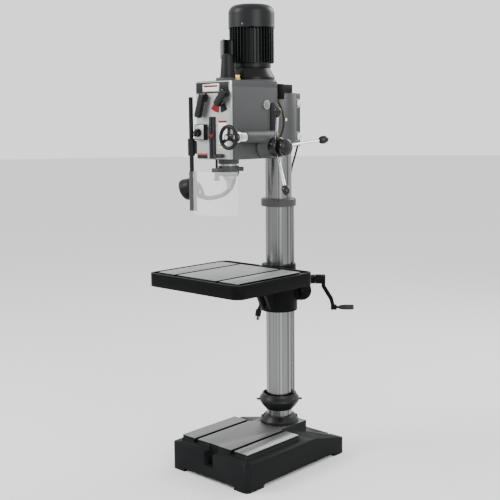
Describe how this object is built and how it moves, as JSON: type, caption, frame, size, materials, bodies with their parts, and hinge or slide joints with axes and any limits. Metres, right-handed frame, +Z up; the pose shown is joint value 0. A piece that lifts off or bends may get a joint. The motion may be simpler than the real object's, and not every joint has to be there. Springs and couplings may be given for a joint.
{
  "type": "drill press",
  "caption": "Floor-standing pillar drill press with a geared head, top motor, three-arm feed, swinging slotted table on a rack and crank, and a heavy slotted base.",
  "frame": {"origin": "middle of the floor-level rectangle under the whole machine without its cord and plug, on the floor", "axes": "+Z up, -Y towards the operator, +X to the operator's right, on the feed levers' side"},
  "size_m": [0.6031, 0.7605, 1.968],
  "materials": {
    "casting_black": "semi-gloss black paint on castings",
    "casting_collar": "satin dark paint",
    "ring_iron": "machined dark iron",
    "column_steel": "ground steel",
    "bolt_steel": "plated fasteners",
    "gear_steel": "cut steel",
    "head_paint": "semi-gloss mid gray paint",
    "panel": "satin silver-gray plate",
    "black_plate": "satin black",
    "marker_red": "red",
    "black_plastic": "glossy black",
    "brass_fit": "polished brass",
    "bronze": "bronze",
    "motor_black": "satin black paint",
    "cowl_gray": "satin dark gray",
    "rotor_steel": "turned steel and laminations",
    "bearing_steel": "ground steel",
    "quill_steel": "ground steel",
    "collar_gray": "satin gray",
    "spindle_steel": "turned steel",
    "chrome_bar": "chrome plate",
    "clear": "clear plastic sheet",
    "cable_sheath": "dark spiral-wrapped cable",
    "cord": "matte black"
  },
  "bodies": {
    "stand": {"base_casting": "casting_black", "column": "column_steel", "column_flange": "casting_collar", "rack_collar_lower": "casting_collar", "rack_ring_upper": "ring_iron", "stand_bolts": "bolt_steel", "head_housing": "head_paint", "head_cover": "head_paint", "front_panel": "panel", "depth_scale": "black_plate", "switch_box": "black_plate", "feed_gear_case": "head_paint", "electrical_box": "black_plate", "feed_cable": "cable_sheath", "head_fittings": "brass_fit", "spring_cover": "casting_collar", "motor_body": "motor_black", "motor_adapter": "motor_black", "fan_cowl": "cowl_gray", "terminal_box": "motor_black", "gear_bearings": "bearing_steel", "spindle_cover": "motor_black", "guard_clamp": "black_plastic", "lamp_arm": "black_plate", "power_cord": "cord", "plug": "cord"},
    "rack": {"rack_bar": "gear_steel"},
    "bracket": {"table_bracket": "casting_black", "table": "casting_black", "table_bolts": "bolt_steel"},
    "lift_gear": {"lift_gear": "gear_steel"},
    "crank": {"lift_worm": "gear_steel", "crank_arm": "casting_black"},
    "grip": {"crank_grip": "black_plastic"},
    "lock": {"table_lock_handle": "black_plastic"},
    "quill": {"quill": "quill_steel", "quill_collar": "collar_gray", "quill_bearings": "bearing_steel", "depth_rod": "black_plate"},
    "spindle": {"spindle": "spindle_steel"},
    "sleeve": {"drive_sleeve": "gear_steel"},
    "layshaft": {"layshaft": "gear_steel"},
    "rotor": {"rotor": "rotor_steel"},
    "feed": {"feed_shaft": "gear_steel", "feed_hub": "black_plastic", "feed_levers": "chrome_bar", "feed_knobs": "black_plastic"},
    "cap": {"hub_cap": "black_plastic"},
    "worm_wheel": {"worm_wheel": "bronze"},
    "fine_feed": {"fine_feed_worm": "chrome_bar", "fine_feed_wheel": "black_plastic"},
    "shift_left": {"shift_lever_left": "black_plastic"},
    "shift_right": {"shift_lever_right": "black_plastic"},
    "switch_knob": {"switch_knob": "black_plastic"},
    "stop_lever": {"stop_lever": "black_plastic"},
    "depth_marker": {"depth_marker": "marker_red"},
    "guard_rod": {"guard_rod": "black_plate"},
    "guard": {"guard_hinge": "collar_gray", "guard_shield": "clear"},
    "lamp": {"lamp_head": "motor_black"}
  },
  "joints": [
    {"name": "table_swing", "type": "hinge", "parent": "stand", "child": "rack", "pos_m": [0.00331, 0.15857, 0.3], "axis": [0, 0, 1], "range_deg": [-20, 60]},
    {"name": "table_lift", "type": "slide", "parent": "rack", "child": "bracket", "axis": [0, 0, 1], "range_m": [-0.3, 0.2]},
    {"name": "lift_gear_spin", "type": "hinge", "parent": "bracket", "child": "lift_gear", "pos_m": [0.08144, 0.22414, 0.75], "axis": [-0.6428, 0.766, 0], "range_deg": [-328, 492]},
    {"name": "crank_turn", "type": "hinge", "parent": "bracket", "child": "crank", "pos_m": [0.14885, 0.2807, 0.799], "axis": [0.766, 0.6428, 0], "range_deg": [-13752, 9168]},
    {"name": "crank_grip_spin", "type": "hinge", "parent": "crank", "child": "grip", "pos_m": [0.2178, 0.33855, 0.672], "axis": [0.766, 0.6428, 0], "continuous": true},
    {"name": "table_lock", "type": "hinge", "parent": "bracket", "child": "lock", "pos_m": [-0.08156, 0.20757, 0.697], "axis": [-0.5, -0.866, 0], "range_deg": [-60, 12]},
    {"name": "quill_feed", "type": "slide", "parent": "stand", "child": "quill", "axis": [0, 0, -1], "range_m": [0, 0.13]},
    {"name": "feed_turn", "type": "hinge", "parent": "stand", "child": "feed", "pos_m": [0.00331, -0.05543, 1.388], "axis": [1, 0, 0], "range_deg": [0, 199]},
    {"name": "hub_cap_turn", "type": "hinge", "parent": "feed", "child": "cap", "pos_m": [0.22331, -0.05543, 1.388], "axis": [1, 0, 0], "range_deg": [0, 90]},
    {"name": "rotor_spin", "type": "hinge", "parent": "stand", "child": "rotor", "pos_m": [0.00331, -0.00743, 1.7], "axis": [0, 0, 1], "continuous": true},
    {"name": "layshaft_spin", "type": "hinge", "parent": "stand", "child": "layshaft", "pos_m": [0.00331, -0.06743, 1.59], "axis": [0, 0, 1], "continuous": true},
    {"name": "sleeve_spin", "type": "hinge", "parent": "stand", "child": "sleeve", "pos_m": [0.00331, -0.15293, 1.59], "axis": [0, 0, 1], "continuous": true},
    {"name": "spindle_spin", "type": "hinge", "parent": "quill", "child": "spindle", "pos_m": [0.00331, -0.15293, 1.3], "axis": [0, 0, 1], "continuous": true},
    {"name": "fine_feed_turn", "type": "hinge", "parent": "stand", "child": "fine_feed", "pos_m": [0.13131, -0.24143, 1.431], "axis": [0, 1, 0], "continuous": true},
    {"name": "worm_wheel_spin", "type": "hinge", "parent": "stand", "child": "worm_wheel", "pos_m": [0.13131, -0.05543, 1.388], "axis": [1, 0, 0], "continuous": true},
    {"name": "shift_left_turn", "type": "hinge", "parent": "stand", "child": "shift_left", "pos_m": [-0.04369, -0.23443, 1.59], "axis": [0, -1, 0], "range_deg": [-30, 40]},
    {"name": "shift_right_turn", "type": "hinge", "parent": "stand", "child": "shift_right", "pos_m": [0.07531, -0.23443, 1.604], "axis": [0, -1, 0], "range_deg": [-15, 45]},
    {"name": "switch_turn", "type": "hinge", "parent": "stand", "child": "switch_knob", "pos_m": [-0.06869, -0.25143, 1.449], "axis": [0, -1, 0], "range_deg": [-45, 45]},
    {"name": "stop_lever_turn", "type": "hinge", "parent": "stand", "child": "stop_lever", "pos_m": [0.02331, -0.24143, 1.355], "axis": [0, -1, 0], "range_deg": [0, 45]},
    {"name": "depth_marker_slide", "type": "slide", "parent": "stand", "child": "depth_marker", "axis": [0, 0, 1], "range_m": [-0.07, 0.06]},
    {"name": "guard_slide", "type": "slide", "parent": "stand", "child": "guard_rod", "axis": [0, 0, 1], "range_m": [-0.15, 0.02]},
    {"name": "guard_swing", "type": "hinge", "parent": "guard_rod", "child": "guard", "pos_m": [-0.13269, -0.23243, 1.2], "axis": [0, 0, 1], "range_deg": [-120, 0]},
    {"name": "lamp_tilt", "type": "hinge", "parent": "stand", "child": "lamp", "pos_m": [-0.20569, -0.11143, 1.177], "axis": [0, 1, 0], "range_deg": [-30, 30]}
  ],
  "couplings": [
    {"joint": "lift_gear_spin", "follows": "table_lift", "rad_per_m": -28.571},
    {"joint": "crank_turn", "follows": "table_lift", "rad_per_m": 800},
    {"joint": "feed_turn", "follows": "quill_feed", "rad_per_m": 26.667},
    {"joint": "layshaft_spin", "follows": "rotor_spin", "ratio": -0.66667},
    {"joint": "sleeve_spin", "follows": "rotor_spin", "ratio": 0.36036},
    {"joint": "spindle_spin", "follows": "rotor_spin", "ratio": 0.36036},
    {"joint": "worm_wheel_spin", "follows": "fine_feed_turn", "ratio": 0.026316}
  ]
}
